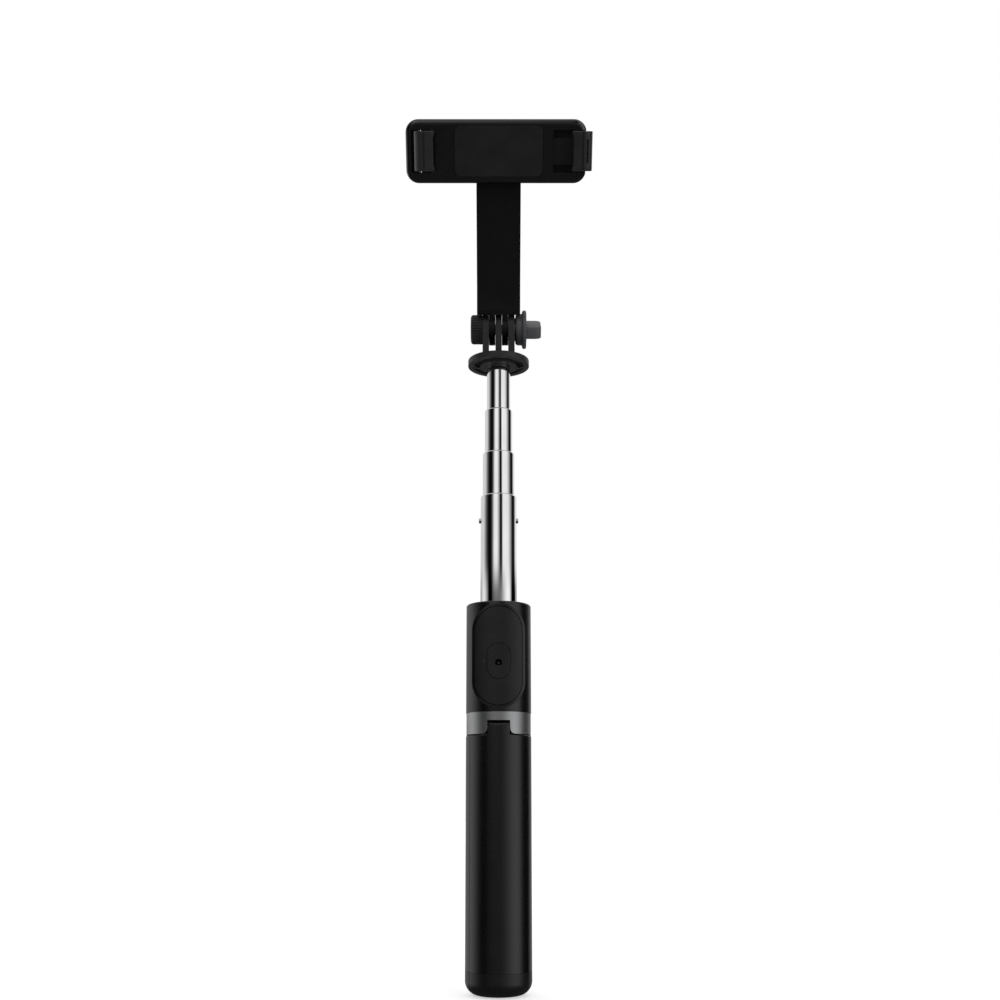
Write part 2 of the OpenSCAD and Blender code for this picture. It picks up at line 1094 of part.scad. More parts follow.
// Slider: wide part held in the cavity, tongue that carries the right jaw
module slider_plate() {
    color(soft_black)
        at_clamp()
            difference() {
                union() {
                    translate([slider_x[0], slider_y[0], -slider_half])
                        cube([slider_x[1] - slider_x[0], slider_y[1] - slider_y[0], 2 * slider_half]);
                    translate([slider_tail_x, tongue_y[0], -tongue_half])
                        cube([jaw_right_x - slider_tail_x, tongue_y[1] - tongue_y[0], 2 * tongue_half]);
                    translate([jaw_right_x, pivot_y, -tongue_half])
                        cylinder(r = barrel_r, h = 2 * tongue_half);
                }
                translate([jaw_right_x, pivot_y, -big / 2])
                    cylinder(r = jaw_pin_r, h = big);
            }
}

// Section of a jaw: X runs inward from the hinge, Y runs forward
module jaw_outline() {
    bend_x = jaw_bend_r - barrel_r;
    bend_y = jaw_depth - jaw_bend_r;
    circle(barrel_r);
    translate([-barrel_r, 0])
        square([barrel_r + jaw_wall_in, bend_y]);
    translate([bend_x, jaw_depth - lip_t])
        square([jaw_reach - bend_x, lip_t]);
    intersection() {
        translate([bend_x, bend_y])
            circle(jaw_bend_r);
        translate([-barrel_r, bend_y])
            square([jaw_bend_r, jaw_bend_r]);
    }
}

// Pad on the wall of a jaw and under its lip
module jaw_pad_outline() {
    bend_x = jaw_bend_r - barrel_r;
    translate([jaw_wall_in, jaw_pad_z])
        square([jaw_pad_t, jaw_depth - jaw_bend_r - jaw_pad_z]);
    translate([bend_x, jaw_depth - lip_t - lip_pad_t])
        square([jaw_reach - bend_x - jaw_pad_back, lip_pad_t]);
    translate([bend_x, jaw_depth - jaw_bend_r - jaw_pad_back])
        square([jaw_wall_in + jaw_pad_t - bend_x, jaw_bend_r + jaw_pad_back - lip_t]);
}

module jaw_flap(cut) {
    difference() {
        translate([0, 0, -jaw_h / 2])
            linear_extrude(jaw_h)
                jaw_outline();
        cylinder(r = jaw_pin_r + running, h = big, center = true);
        if (cut)
            translate([-barrel_r - 1, -barrel_r - 1, -jaw_cut_half])
                cube([2 * barrel_r + 2, barrel_r + 1 + jaw_cut_depth, 2 * jaw_cut_half]);
    }
}

module jaw_pad() {
    translate([0, 0, -jaw_pad_h / 2])
        linear_extrude(jaw_pad_h)
            jaw_pad_outline();
}

module at_left_jaw() {
    at_clamp()
        translate([jaw_left_x, pivot_y, 0])
            mirror([0, 1, 0])
                children();
}

module at_right_jaw() {
    at_clamp()
        translate([jaw_right_x, pivot_y, 0])
            mirror([1, 0, 0])
                mirror([0, 1, 0])
                    children();
}

module jaw_left_flap() {
    color(soft_black)
        at_left_jaw()
            jaw_flap(false);
}

module jaw_left_pad() {
    color(rubber_black)
        at_left_jaw()
            jaw_pad();
}

module jaw_right_flap() {
    color(soft_black)
        at_right_jaw()
            jaw_flap(true);
}

module jaw_right_pad() {
    color(rubber_black)
        at_right_jaw()
            jaw_pad();
}

handle_shell();
handle_liner();
mouth_bush();
hinge_collar();
collar_screws();
hinge_pins();
leg_front_shell();
leg_front_cover();
leg_front_foot();
leg_right_shell();
leg_right_cover();
leg_right_foot();
leg_left_shell();
leg_left_cover();
leg_left_foot();
remote_front();
remote_back();
remote_board();
remote_cell();
remote_switch();
remote_led();
shutter_button();
tube_1();
tube_1_bush();
guide_studs();
tube_2();
tube_2_bush();
tube_3();
tube_3_bush();
tube_4();
tube_4_bush();
tube_plug();
head_fork();
head_under();
head_screws();
nut_cap();
tilt_nut();
thumb_knob();
tilt_bolt();
knob_washer();
stem_arm();
stem_cover();
swivel_washer();
clamp_front_cover();
clamp_rear_cover();
clamp_pad();
clamp_screws();
clamp_springs();
swivel_shaft();
swivel_nut();
left_jaw_pin();
slider_plate();
right_jaw_pin();
jaw_left_flap();
jaw_left_pad();
jaw_right_flap();
jaw_right_pad();
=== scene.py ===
import json
import math

import bmesh
import bpy
from mathutils import Matrix, Vector


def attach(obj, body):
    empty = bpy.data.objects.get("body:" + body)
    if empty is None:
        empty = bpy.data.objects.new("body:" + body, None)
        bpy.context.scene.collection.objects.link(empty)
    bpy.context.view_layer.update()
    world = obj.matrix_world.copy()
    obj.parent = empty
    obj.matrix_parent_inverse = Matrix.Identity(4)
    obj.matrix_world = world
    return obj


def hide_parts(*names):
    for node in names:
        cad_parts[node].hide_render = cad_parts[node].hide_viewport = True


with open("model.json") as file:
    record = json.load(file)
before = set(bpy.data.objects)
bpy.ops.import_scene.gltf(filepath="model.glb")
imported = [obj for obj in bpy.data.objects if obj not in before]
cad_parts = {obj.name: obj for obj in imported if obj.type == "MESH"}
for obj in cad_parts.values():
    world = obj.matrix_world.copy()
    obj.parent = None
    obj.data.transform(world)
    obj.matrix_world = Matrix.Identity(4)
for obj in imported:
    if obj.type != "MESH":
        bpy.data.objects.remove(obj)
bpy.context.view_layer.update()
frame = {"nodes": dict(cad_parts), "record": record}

MM = 0.001

# ---------- driving dimensions, in millimetres, as in the CAD ----------

GRIP_R = 15.0
CROWN_R = 29.0
CROWN_Y = CROWN_R - GRIP_R
PIN_Z = 311.1
TILT = math.radians(29.5)
CLAMP_W = 81.4
FORK_HALF = 7.7


# ---------- materials ----------

def shader(name):
    """A new material: its node tree, its principled shader and its object coordinates."""
    material = bpy.data.materials.new(name)
    material.use_nodes = True
    tree = material.node_tree
    principled = tree.nodes["Principled BSDF"]
    coordinates = tree.nodes.new("ShaderNodeTexCoord")
    return material, tree, principled, coordinates.outputs["Object"]


def mapped(tree, vector, scale):
    """The coordinates stretched by a scale per axis."""
    mapping = tree.nodes.new("ShaderNodeMapping")
    mapping.inputs["Scale"].default_value = scale
    tree.links.new(vector, mapping.inputs["Vector"])
    return mapping.outputs["Vector"]


def noise(tree, vector, scale, detail=3.0, roughness=0.6):
    """Noise whose scale is in features per metre."""
    node = tree.nodes.new("ShaderNodeTexNoise")
    node.inputs["Scale"].default_value = scale
    node.inputs["Detail"].default_value = detail
    node.inputs["Roughness"].default_value = roughness
    tree.links.new(vector, node.inputs["Vector"])
    return node.outputs["Fac"]


def between(tree, value, low, high):
    """The value, about 0.3 to 0.7, spread from low to high."""
    spread = tree.nodes.new("ShaderNodeMapRange")
    spread.inputs["From Min"].default_value = 0.3
    spread.inputs["From Max"].default_value = 0.7
    spread.inputs["To Min"].default_value = low
    spread.inputs["To Max"].default_value = high
    tree.links.new(value, spread.inputs["Value"])
    return spread.outputs["Result"]


def ramp(tree, value, dark, light, low=0.35, high=0.65):
    """A colour that runs from dark to light with the value."""
    node = tree.nodes.new("ShaderNodeValToRGB")
    node.color_ramp.elements[0].position = low
    node.color_ramp.elements[0].color = (*dark, 1)
    node.color_ramp.elements[1].position = high
    node.color_ramp.elements[1].color = (*light, 1)
    tree.links.new(value, node.inputs["Fac"])
    return node.outputs["Color"]


def bump(tree, principled, height, distance, strength=1.0):
    """Relief of that height, in metres, on the shader."""
    node = tree.nodes.new("ShaderNodeBump")
    node.inputs["Strength"].default_value = strength
    node.inputs["Distance"].default_value = distance
    tree.links.new(height, node.inputs["Height"])
    tree.links.new(node.outputs["Normal"], principled.inputs["Normal"])


def moulded(name, colour, rough, grain, depth, specular, coat=0.0):
    """Moulded plastic or rubber: fine grain, slow drift in gloss and a faint drift in colour."""
    material, tree, principled, where = shader(name)
    slow = noise(tree, where, 90.0, 2.0)
    fine = noise(tree, where, grain, 4.0)
    dark = tuple(0.85 * c for c in colour)
    light = tuple(1.2 * c for c in colour)
    tree.links.new(ramp(tree, slow, dark, light), principled.inputs["Base Color"])
    tree.links.new(between(tree, fine, rough - 0.05, rough + 0.05), principled.inputs["Roughness"])
    principled.inputs["Specular IOR Level"].default_value = specular
    principled.inputs["Coat Weight"].default_value = coat
    principled.inputs["Coat Roughness"].default_value = 0.12
    bump(tree, principled, fine, depth, 0.6)
    return material


def metal(name, colour, rough, stretch, depth, spread):
    """Metal with tool marks: the noise is stretched across the direction of the marks."""
    material, tree, principled, where = shader(name)
    marks = noise(tree, mapped(tree, where, stretch), 1.0, 3.0)
    slow = noise(tree, where, 60.0, 2.0)
    dark = tuple(0.93 * c for c in colour)
    tree.links.new(ramp(tree, slow, dark, colour), principled.inputs["Base Color"])
    principled.inputs["Metallic"].default_value = 1.0
    tree.links.new(between(tree, marks, rough - spread, rough + spread), principled.inputs["Roughness"])
    bump(tree, principled, marks, depth, 0.5)
    return material


# moulded: colour, roughness, grain per metre, depth of the grain in metres, specular level, coat
# metal: colour, roughness, stretch of the marks, depth of the marks in metres, spread of the roughness
LOOKS = {
    "satin": moulded("satin_black", (0.0027, 0.0027, 0.0029), 0.27, 3200.0, 0.000003, 0.5),
    "handle": moulded("handle_black", (0.0027, 0.0027, 0.0029), 0.27, 3200.0, 0.000003, 0.48),
    "soft": moulded("soft_black", (0.005, 0.005, 0.0053), 0.4, 2400.0, 0.000022, 0.42),
    "deep": moulded("deep_black", (0.002, 0.002, 0.0021), 0.5, 2000.0, 0.00002, 0.3),
    "gloss": moulded("gloss_black", (0.003, 0.003, 0.0032), 0.14, 1500.0, 0.000004, 0.55, 0.6),
    "foot": moulded("foot_black", (0.0035, 0.0035, 0.0037), 0.38, 2600.0, 0.000006, 0.45),
    "head": moulded("head_black", (0.016, 0.016, 0.0165), 0.48, 2400.0, 0.00001, 0.35),
    "jaw": moulded("jaw_black", (0.011, 0.0112, 0.0115), 0.42, 2400.0, 0.00001, 0.45),
    "rubber": moulded("rubber_black", (0.006, 0.006, 0.0063), 0.6, 1800.0, 0.00004, 0.35),
    "knob": moulded("knob_grey", (0.055, 0.056, 0.06), 0.42, 2600.0, 0.00002, 0.5),
    "board": moulded("board_green", (0.012, 0.09, 0.035), 0.35, 900.0, 0.00001, 0.5),
    "lens": moulded("led_lens", (0.012, 0.012, 0.013), 0.2, 900.0, 0.000005, 0.6),
    "print": moulded("icon_black", (0.0006, 0.0006, 0.0006), 0.6, 1500.0, 0.000002, 0.0),
    "oxide": metal("black_oxide", (0.06, 0.06, 0.065), 0.3, (5000.0, 5000.0, 5000.0), 0.000003, 0.06),
    "collar": metal("collar_grey", (0.40, 0.405, 0.41), 0.42, (900.0, 900.0, 26000.0), 0.000005, 0.06),
    "chrome": metal("chrome_tube", (0.80, 0.80, 0.81), 0.05, (9000.0, 9000.0, 120.0), 0.0000006, 0.015),
    "steel": metal("turned_steel", (0.52, 0.52, 0.53), 0.3, (5000.0, 5000.0, 5000.0), 0.000004, 0.06),
}


# ---------- pieces ----------

def finish_mesh(mesh, angle=35.0):
    """Smooth shading that breaks at edges sharper than the angle, in degrees."""
    mesh.shade_smooth()
    mesh.set_sharp_from_angle(angle=math.radians(angle))


def piece(name, mesh, look, body, nodes=()):
    """A new object of the scene that rides on a body and stands for CAD nodes."""
    mesh.name = name
    obj = bpy.data.objects.new(name, mesh)
    bpy.context.scene.collection.objects.link(obj)
    mesh.materials.clear()
    mesh.materials.append(LOOKS[look])
    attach(obj, body)
    if nodes:
        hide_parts(*nodes)
    return obj


def node_body(node):
    """The body that a CAD node rides on."""
    for body, nodes in frame["record"]["behaviour"]["bodies"].items():
        if node in nodes:
            return body
    raise KeyError(node)


def clean_copy(node):
    """The mesh of a CAD node with its vertices joined and its flat faces made whole."""
    work = bmesh.new()
    work.from_mesh(frame["nodes"][node].data)
    bmesh.ops.remove_doubles(work, verts=work.verts, dist=2e-6)
    bmesh.ops.dissolve_limit(work, angle_limit=math.radians(0.4), verts=work.verts, edges=work.edges)
    mesh = bpy.data.meshes.new(node)
    work.to_mesh(mesh)
    work.free()
    return mesh


BEVEL_SEGMENTS = 3
BEVEL_ANGLE = math.radians(32.0)


def rounded(node, look, width):
    """A CAD node rebuilt with its edges rounded to a width in millimetres."""
    obj = piece(node + "_skin", clean_copy(node), look, node_body(node), [node])
    obj.data.shade_smooth()
    if width:
        edges = obj.modifiers.new("edges", "BEVEL")
        edges.width = width * MM
        edges.segments = BEVEL_SEGMENTS
        edges.limit_method = "ANGLE"
        edges.angle_limit = BEVEL_ANGLE
        edges.use_clamp_overlap = True
        edges.miter_outer = "MITER_ARC"
    weights = obj.modifiers.new("normals", "WEIGHTED_NORMAL")
    weights.keep_sharp = True
    weights.weight = 80
    return obj


def dressed(node, look):
    """A CAD node that keeps its own mesh and gets a finish."""
    obj = frame["nodes"][node]
    obj.data.materials.clear()
    obj.data.materials.append(LOOKS[look])
    return obj


# nodes with visible edges: finish and edge radius
SKINS = {
    "handle_shell": ("handle", 0.25), "hinge_collar": ("collar", 0.25),
    "remote_front": ("soft", 0.22), "shutter_button": ("soft", 0.2), "remote_back": ("soft", 0.1),
    "mouth_bush": ("soft", 0.12),
    "head_fork": ("head", 0.2), "head_under": ("head", 0.12), "knob_washer": ("steel", 0.08),
    "stem_arm": ("deep", 0.15), "stem_cover": ("soft", 0.2), "swivel_washer": ("steel", 0.08),
    "swivel_nut": ("steel", 0.2), "swivel_shaft": ("steel", 0.0),
    "clamp_rear_cover": ("soft", 0.5), "clamp_pad": ("rubber", 0.25),
    "clamp_screws": ("steel", 0.1), "left_jaw_pin": ("chrome", 0.15), "right_jaw_pin": ("chrome", 0.15),
    "slider_plate": ("soft", 0.3), "jaw_left_pad": ("rubber", 0.2), "jaw_right_pad": ("rubber", 0.2),
}
for side in ("front", "right", "left"):
    SKINS["leg_%s_shell" % side] = ("satin", 0.3)
    SKINS["leg_%s_cover" % side] = ("soft", 0.1)
    SKINS["leg_%s_foot" % side] = ("foot", 0.2)

# hidden or plain round nodes: finish only
DRESSED = {
    "handle_liner": "steel", "collar_screws": "steel", "hinge_pins": "steel", "remote_board": "board",
    "remote_cell": "steel", "remote_switch": "steel", "remote_led": "lens", "guide_studs": "chrome",
    "tube_plug": "soft", "tilt_nut": "steel", "tilt_bolt": "steel",
    "clamp_springs": "steel",
}
for number in (1, 2, 3, 4):
    DRESSED["tube_%d" % number] = "chrome"
    DRESSED["tube_%d_bush" % number] = "soft"

for node, (look, width) in SKINS.items():
    rounded(node, look, width)
for node, look in DRESSED.items():
    dressed(node, look)


# ---------- new shapes, in millimetres ----------

CLAMP_FRAME = (
    Matrix.Translation((0, 0, PIN_Z)) @ Matrix.Rotation(TILT, 4, "X") @ Matrix.Translation((0, 0, CLAMP_W))
)
KNOB_FRAME = Matrix.Translation((0, 0, PIN_Z)) @ Matrix.Rotation(math.radians(90), 4, "Y")


def lofted(rings, place=Matrix.Identity(4)):
    """A closed skin over rings of points of equal count, put in its place."""
    count = len(rings[0])
    points = [place @ Vector(point) * MM for ring in rings for point in ring]
    faces = [tuple(reversed(range(count))), tuple(range(len(points) - count, len(points)))]
    for level in range(len(rings) - 1):
        base = level * count
        for i in range(count):
            j = (i + 1) % count
            faces.append((base + i, base + j, base + count + j, base + count + i))
    mesh = bpy.data.meshes.new("skin")
    mesh.from_pydata(points, [], faces)
    work = bmesh.new()
    work.from_mesh(mesh)
    bmesh.ops.recalc_face_normals(work, faces=work.faces)
    work.to_mesh(mesh)
    work.free()
    return mesh


def joined(*meshes):
    """One mesh out of several."""
    work = bmesh.new()
    for mesh in meshes:
        work.from_mesh(mesh)
    mesh = bpy.data.meshes.new("joined")
    work.to_mesh(mesh)
    work.free()
    return mesh


def turned(profile, place, count=96):
    """A solid of revolution about Z through (radius, height) points."""
    circle = [(math.cos(a), math.sin(a)) for a in (2 * math.pi * i / count for i in range(count))]
    return lofted([[(r * x, r * y, h) for x, y in circle] for r, h in profile], place)


def inset(outline, distance):
    """The outline moved inward; it runs anticlockwise."""
    moved = []
    for i, point in enumerate(outline):
        before, after = Vector(outline[i - 1]), Vector(outline[(i + 1) % len(outline)])
        here = Vector(point)
        first, second = (here - before).normalized(), (after - here).normalized()
        normal = (Vector((-first.y, first.x)) + Vector((-second.y, second.x))).normalized()
        lean = max(0.5, normal.dot(Vector((-first.y, first.x))))
        moved.append(tuple(here + normal * distance / lean))
    return moved


def arc(x, y, r, start, end, count):
    """Points on an arc, angles in degrees."""
    angles = [math.radians(start + (end - start) * i / (count - 1)) for i in range(count)]
    return [(x + r * math.cos(a), y + r * math.sin(a)) for a in angles]


def slab(outline, low, high, edge, place, steps=4):
    """An outline extruded from low to high with rounded rims."""
    angles = [math.pi / 2 * i / steps for i in range(steps + 1)]
    rims = [(edge * (1 - math.sin(a)), edge * (1 - math.cos(a))) for a in angles]
    rings = [[(*p, low + drop) for p in inset(outline, back)] for back, drop in rims]
    rings += [[(*p, high - drop) for p in inset(outline, back)] for back, drop in reversed(rims)]
    return lofted(rings, place)


def cut(mesh, *cutters):
    """The mesh with the cutters taken out of it."""
    target = bpy.data.objects.new("target", mesh)
    bpy.context.scene.collection.objects.link(target)
    tools = []
    for cutter in cutters:
        tool = bpy.data.objects.new("tool", cutter)
        bpy.context.scene.collection.objects.link(tool)
        tools.append(tool)
        boolean = target.modifiers.new("cut", "BOOLEAN")
        boolean.operation = "DIFFERENCE"
        boolean.solver = "EXACT"
        boolean.object = tool
    bpy.context.view_layer.update()
    evaluated = target.evaluated_get(bpy.context.evaluated_depsgraph_get())
    result = bpy.data.meshes.new_from_object(evaluated)
    for obj in [target, *tools]:
        bpy.data.objects.remove(obj)
    return result


def box(x0, x1, y0, y1, z0, z1, place=Matrix.Identity(4)):
    """A plain block."""
    outline = [(x0, y0), (x1, y0), (x1, y1), (x0, y1)]
    return lofted([[(*p, z0) for p in outline], [(*p, z1) for p in outline]], place)


def new_skin(name, mesh, look, node, angle=35.0):
    """A new piece in the place of a CAD node, smooth between its sharp edges."""
    finish_mesh(mesh, angle)
    return piece(name, mesh, look, node_body(node), [node])


# ---------- nut cap, thumb knob and head screws ----------

CAP_R, CAP_L = 7.0, 5.8
CAP_RIBS = 32


def cap_ring(radius, x, depth):
    """A ring of the nut cap with rounded grip ribs of the given depth."""
    ring = []
    for i in range(CAP_RIBS * 8):
        a = 2 * math.pi * i / (CAP_RIBS * 8)
        r = radius - depth * abs(math.sin(CAP_RIBS * a / 2)) ** 6
        ring.append((r * math.cos(a), r * math.sin(a), x))
    return ring


CAP_X = -FORK_HALF - CAP_L
# each station of the cap: how far inside its radius, how far from its outer end, depth of the ribs
CAP_STATIONS = (
    (1.7, 0, 0), (1.1, 0.06, 0), (0.6, 0.28, 0), (0.28, 0.6, 0), (0.1, 0.95, 0.25), (0.0, 1.3, 0.45),
    (0.0, CAP_L - 0.5, 0.45), (0.05, CAP_L - 0.3, 0.25), (0.2, CAP_L, 0),
)
cap_rings = [cap_ring(CAP_R - back, CAP_X + out, rib) for back, out, rib in CAP_STATIONS]
new_skin("nut_cap_skin", lofted(cap_rings, KNOB_FRAME), "head", "nut_cap")

HUB_X = FORK_HALF + 0.4
KNOB_PROFILE = [
    (0.1, HUB_X), (6.2, HUB_X), (6.8, HUB_X + 0.15), (7.25, HUB_X + 0.6), (7.5, HUB_X + 1.2), (7.5, HUB_X + 2.9),
    (7.8, HUB_X + 3.2), (8.5, HUB_X + 3.3), (8.95, HUB_X + 3.5), (9.15, HUB_X + 3.85), (9.2, HUB_X + 4.3),
    (9.15, HUB_X + 4.75), (8.95, HUB_X + 5.1), (8.5, HUB_X + 5.3), (0.1, HUB_X + 5.3),
]
WING_X0, WING_X1 = HUB_X + 4.8, HUB_X + 12.4
WING_HALF, WING_T, WING_CORNER, WING_TILT = 8.0, 5.6, 3.0, 34.5
wing_outline = (
    [(WING_X0, -WING_HALF + 0.6), (WING_X0 + 0.6, -WING_HALF)]
    + arc(WING_X1 - WING_CORNER, -WING_HALF + WING_CORNER, WING_CORNER, -90, 0, 10)
    + arc(WING_X1 - WING_CORNER, WING_HALF - WING_CORNER, WING_CORNER, 0, 90, 10)
    + [(WING_X0 + 0.6, WING_HALF), (WING_X0, WING_HALF - 0.6)]
)
wing_place = Matrix.Translation((0, 0, PIN_Z)) @ Matrix.Rotation(math.radians(WING_TILT), 4, "X")
knob_mesh = joined(
    turned(KNOB_PROFILE, KNOB_FRAME), slab(wing_outline, -WING_T / 2, WING_T / 2, 0.55, wing_place)
)
new_skin("thumb_knob_skin", knob_mesh, "knob", "thumb_knob")

SCREW_X, SCREW_R, SCREW_Z = 10.0, 1.8, 292.6
SCREW_TURN = math.radians(25)
DRIVE_HALF_L, DRIVE_HALF_W, DRIVE_Z = 1.05, 0.2, (-1.2, -0.3)
SCREW_PROFILE = [
    (0.05, 0.3), (SCREW_R, 0.3), (SCREW_R, -0.35), (SCREW_R - 0.15, -0.6), (SCREW_R - 0.6, -0.8), (0.8, -0.88),
    (0.05, -0.9),
]
screw_meshes = []
for x in (-SCREW_X, SCREW_X):
    at = Matrix.Translation((x, 0, SCREW_Z)) @ Matrix.Rotation(SCREW_TURN, 4, "Z")
    drive = [
        box(-half_x, half_x, -half_y, half_y, *DRIVE_Z, at)
        for half_x, half_y in ((DRIVE_HALF_L, DRIVE_HALF_W), (DRIVE_HALF_W, DRIVE_HALF_L))
    ]
    screw_meshes.append(cut(turned(SCREW_PROFILE, at, 48), *drive))
new_skin("head_screws_skin", joined(*screw_meshes), "oxide", "head_screws", 30.0)


# ---------- jaws ----------

JAW_HALF, JAW_DEPTH, JAW_REACH = 8.4, 14.4, 7.1
BARREL_R, LIP_T, BEND_R, WALL_IN = 2.0, 2.4, 4.0, 1.0
PIVOT_V = -9.6
LEFT_PIN_X, RIGHT_PIN_X = -35.8, 40.0
SLOT_HALF, SLOT_R, SLOT_X, SLOT_Y = 4.6, 0.45, 0.3, (12.6, 16.0)
TONGUE_HALF, TONGUE_TOP = 6.0, 3.2


def jaw_section(reach):
    """Section of a jaw, anticlockwise: X runs inward from the pin, Y forward. The lip ends at the reach."""
    bend_x, bend_y = BEND_R - BARREL_R, JAW_DEPTH - BEND_R
    return (
        arc(0, 0, BARREL_R, -180, 0, 17)
        + [(1.5, 1.1), (WALL_IN, 2.0), (WALL_IN, bend_y), (1.25, 11.3), (1.9, JAW_DEPTH - LIP_T)]
        + [(reach - 0.35, JAW_DEPTH - LIP_T), (reach - 0.1, JAW_DEPTH - LIP_T + 0.1)]
        + [(reach, JAW_DEPTH - LIP_T + 0.35), (reach, JAW_DEPTH - 0.6)]
        + [(reach - 0.17, JAW_DEPTH - 0.17), (reach - 0.6, JAW_DEPTH)]
        + [(2.75, JAW_DEPTH), (2.6, JAW_DEPTH - 0.45), (2.15, JAW_DEPTH - 0.45)]
        + arc(bend_x, bend_y, BEND_R, 90, 180, 14)
    )


def jaw_place(side, pin_x):
    """Where a jaw sits: side is 1 for the left jaw and -1 for its mirror image."""
    return CLAMP_FRAME @ Matrix.Translation((pin_x, PIVOT_V, 0)) @ Matrix.Diagonal((side, -1, 1, 1))


def jaw_mesh(place):
    """A jaw whose lip is a little narrower between its ends."""
    stations = [(0.0, 0.35, 0.0), (0.1, 0.1, 0.0), (0.35, 0.0, 0.0), (1.6, 0.0, 0.0), (2.3, 0.0, 0.45)]
    rings = []
    for down, back, waist in stations:
        rings.append([(*p, -JAW_HALF + down) for p in inset(jaw_section(JAW_REACH - waist), back)])
    for down, back, waist in reversed(stations):
        rings.append([(*p, JAW_HALF - down) for p in inset(jaw_section(JAW_REACH - waist), back)])
    return lofted(rings, place)


new_skin("jaw_left_skin", jaw_mesh(jaw_place(1, LEFT_PIN_X)), "jaw", "jaw_left_flap")

right_place = jaw_place(-1, RIGHT_PIN_X)
slot_outline = arc(0, SLOT_HALF, SLOT_R, 0, 180, 9) + arc(0, -SLOT_HALF, SLOT_R, 180, 360, 9)
slot_cut = lofted([[(SLOT_X + x, y, w) for x, w in slot_outline] for y in SLOT_Y], right_place)
tongue_cut = box(
    -BARREL_R - 1, BARREL_R + 1, -BARREL_R - 1, TONGUE_TOP, -TONGUE_HALF, TONGUE_HALF, right_place
)
new_skin("jaw_right_skin", cut(jaw_mesh(right_place), slot_cut, tongue_cut), "jaw", "jaw_right_flap")


# ---------- front cover of the clamp ----------

COVER_LEFT, COVER_RIGHT, COVER_HALF, COVER_CORNER = -42.3, 40.0, 13.75, 5.8
COVER_FACE, COVER_BACK, COVER_RIM = -12.0, -6.5, 2.4
RECESS_HALF, LEFT_RECESS = 9.1, (-39.7, -30.8)
CAVITY, CAVITY_HALF, CAVITY_FACE = (-28.6, 25.0), 11.0, -10.6
THROUGH = (-13.0, -6.0)


def cover_outline():
    """Round-cornered outline of the clamp, anticlockwise."""
    x0, x1, w, r = COVER_LEFT, COVER_RIGHT, COVER_HALF, COVER_CORNER
    return (
        arc(x1 - r, -w + r, r, -90, 0, 14) + arc(x1 - r, w - r, r, 0, 90, 14)
        + arc(x0 + r, w - r, r, 90, 180, 14) + arc(x0 + r, -w + r, r, 180, 270, 14)
    )


def cover_ring(back, v):
    """The outline moved inward, at a depth of the clamp."""
    return [(x, v, w) for x, w in inset(cover_outline(), back)]


rim_steps = [math.pi / 2 * i / 8 for i in range(9)]
cover_rings = [cover_ring(0.0, COVER_BACK)] + [
    cover_ring(COVER_RIM * (1 - math.cos(a)), COVER_FACE + COVER_RIM * 0.8 * (1 - math.sin(a))) for a in rim_steps
]
front_cover = cut(
    lofted(cover_rings, CLAMP_FRAME),
    box(*CAVITY, CAVITY_FACE, THROUGH[1], -CAVITY_HALF, CAVITY_HALF, CLAMP_FRAME),
    box(*LEFT_RECESS, *THROUGH, -RECESS_HALF, RECESS_HALF, CLAMP_FRAME),
    box(CAVITY[1] - 0.1, COVER_RIGHT + 1, *THROUGH, -RECESS_HALF, RECESS_HALF, CLAMP_FRAME),
)
new_skin("clamp_front_skin", front_cover, "gloss", "clamp_front_cover")


# ---------- camera icon on the shutter button ----------

ICON_Z = 146.6
ICON_RISE = 0.03
ICON_LENS_R, ICON_LENS_DROP = 0.6, 0.15


def crown(x):
    """Y of the gently curved front of the remote."""
    return CROWN_Y - math.sqrt(CROWN_R ** 2 - x ** 2)


def on_button(points, rise):
    """Flat points put on the front of the button."""
    return [(x, crown(x) - rise, ICON_Z + z) for x, z in points]


def icon_outline(count=48):
    """Outline of a camera: a rounded body with a low hump on top, sampled by angle."""
    points = []
    for i in range(count):
        a = 2 * math.pi * i / count
        c, d = math.cos(a), math.sin(a)
        r = (abs(c / 1.55) ** 6 + abs(d / 1.15) ** 6) ** (-1 / 6)
        if abs(c * r) < 0.75 and d > 0:
            r *= 1.32
        points.append((r * c, r * d))
    return points


def icon_lens(count=48):
    """The round lens in the camera, sampled by angle."""
    angles = [2 * math.pi * i / count for i in range(count)]
    return [(ICON_LENS_R * math.cos(a), ICON_LENS_R * math.sin(a) - ICON_LENS_DROP) for a in angles]


outer, inner = icon_outline(), icon_lens()
icon = lofted([
    on_button(outline, rise)
    for outline, rise in ((inner, -0.02), (inner, ICON_RISE), (outer, ICON_RISE), (outer, -0.02))
])
finish_mesh(icon)
piece("button_icon", icon, "print", "button")


# ---------- stage ----------

FLOOR_SIZE = 12.0
FLOOR_DROP = 0.0002
FLOOR_GLOW = 0.55

# brightness of the ceiling and of what lies below, and the heights of direction where each zone ends
CEILING, CEILING_EDGE = 0.6, (0.6, 0.8)
PIT, PIT_EDGE = 0.06, (-0.4, -0.25)
WALL_EDGE = (0.17, 0.2)


def paper(name, colour, glow):
    """Matt paper for the floor, with a glow of its own."""
    material, tree, principled, where = shader(name)
    tone = noise(tree, where, 3.0, 2.0)
    dark = tuple(0.99 * c for c in colour)
    tree.links.new(ramp(tree, tone, dark, colour), principled.inputs["Base Color"])
    principled.inputs["Roughness"].default_value = 0.9
    principled.inputs["Emission Color"].default_value = (1, 1, 1, 1)
    principled.inputs["Emission Strength"].default_value = glow
    return material


